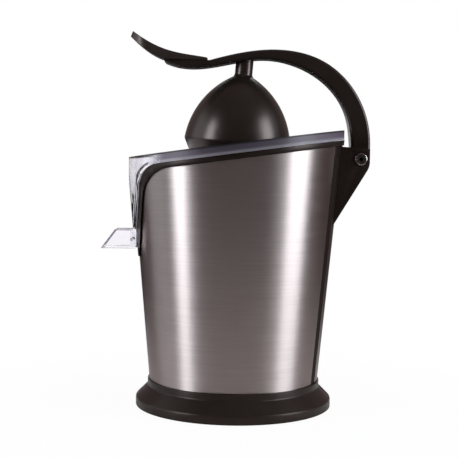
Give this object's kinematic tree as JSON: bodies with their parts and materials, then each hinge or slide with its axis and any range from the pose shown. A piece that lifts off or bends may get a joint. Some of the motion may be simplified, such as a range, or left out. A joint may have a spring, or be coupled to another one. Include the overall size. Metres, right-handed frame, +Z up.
{
  "type": "electric citrus juicer",
  "caption": "Lever-press electric citrus juicer: tapered brushed-steel body, clear bowl and tilting spout, hinged arm with domed press cup over a geared reamer cone.",
  "frame": {"origin": "on the floor under the reamer's axis, at the centre of the base", "axes": "+Z up along the reamer's axis, -X towards the spout, +X towards the lever hinge"},
  "size_m": [0.2391, 0.1924, 0.3346],
  "materials": {
    "steel": "brushed stainless sheet",
    "black_abs": "satin moulded",
    "grip_black": "soft satin",
    "clear": "clear moulded",
    "mesh_steel": "bright pressed sheet",
    "cone_abs": "satin moulded",
    "rubber": "matt",
    "frame_abs": "moulded",
    "bright_steel": "turned",
    "bronze": "sintered",
    "acetal": "moulded",
    "switch_abs": "moulded",
    "core_steel": "stamped",
    "copper": "varnished wire"
  },
  "bodies": {
    "housing": {"base_ring": "black_abs", "cord_gland": "rubber", "bottom_plate": "frame_abs", "foot_ring": "rubber", "bottom_screws": "bright_steel", "steel_shell": "steel", "rear_spine": "black_abs", "rear_panel": "steel", "rim_trim": "black_abs", "inner_frame": "frame_abs", "shaft_seal": "rubber", "shaft_bushes": "bronze", "juice_bowl": "clear", "outlet_seal": "rubber", "strainer": "mesh_steel", "hinge_bracket": "black_abs", "bracket_screws": "bright_steel", "hinge_pin": "bright_steel", "pin_cap": "bright_steel", "friction_washers": "acetal", "idler_pin": "bright_steel", "gearbox_case": "frame_abs", "gearbox_cover": "frame_abs", "gearbox_screws": "bright_steel", "start_switch": "switch_abs", "motor_stator": "core_steel", "motor_windings": "copper", "motor_bearings": "bronze", "motor_bracket": "core_steel", "motor_spacers": "bright_steel", "motor_screws": "bright_steel"},
    "lever": {"lever_arm": "black_abs", "arm_bush": "bronze", "lever_grip": "grip_black", "grip_screws": "bright_steel", "press_stem": "black_abs", "press_dome": "black_abs", "dome_screw": "bright_steel"},
    "spout": {"juice_spout": "clear", "spout_pins": "bright_steel"},
    "press_carriage": {"thrust_plate": "bright_steel", "return_spring": "bright_steel"},
    "spindle": {"drive_shaft": "bright_steel", "output_gear": "acetal", "reamer_cone": "cone_abs"},
    "idler": {"idler_gear": "acetal"},
    "rotor": {"motor_rotor": "core_steel", "motor_shaft": "bright_steel", "motor_pinion": "acetal", "cooling_fan": "acetal"},
    "plunger": {"switch_plunger": "switch_abs"}
  },
  "joints": [
    {"name": "lever_hinge", "type": "hinge", "parent": "housing", "child": "lever", "pos_m": [0.11001, 0, 0.2234], "axis": [0, 1, 0], "range_deg": [-4.5, 80]},
    {"name": "spout_tilt", "type": "hinge", "parent": "housing", "child": "spout", "pos_m": [-0.09241, 0, 0.149], "axis": [0, 1, 0], "range_deg": [0, 25]},
    {"name": "cone_press", "type": "slide", "parent": "housing", "child": "press_carriage", "axis": [0, 0, 1], "range_m": [-0.0025, 0], "stiffness_N_per_m": 1500, "springref_m": 0.004, "deforming": ["return_spring"]},
    {"name": "drive_spin", "type": "hinge", "parent": "press_carriage", "child": "spindle", "pos_m": [0, 0, 0.1], "axis": [0, 0, 1], "continuous": true},
    {"name": "idler_spin", "type": "hinge", "parent": "housing", "child": "idler", "pos_m": [-0.0345, 0, 0.1], "axis": [0, 0, 1], "continuous": true},
    {"name": "rotor_spin", "type": "hinge", "parent": "housing", "child": "rotor", "pos_m": [-0.0195, 0.02598, 0.06], "axis": [0, 0, 1], "continuous": true},
    {"name": "plunger_slide", "type": "slide", "parent": "housing", "child": "plunger", "axis": [0, 0, 1], "range_m": [-0.0025, 0]}
  ],
  "couplings": [
    {"joint": "idler_spin", "follows": "drive_spin", "ratio": -3.6},
    {"joint": "rotor_spin", "follows": "drive_spin", "ratio": 14.4},
    {"joint": "plunger_slide", "follows": "cone_press", "ratio": 1}
  ]
}
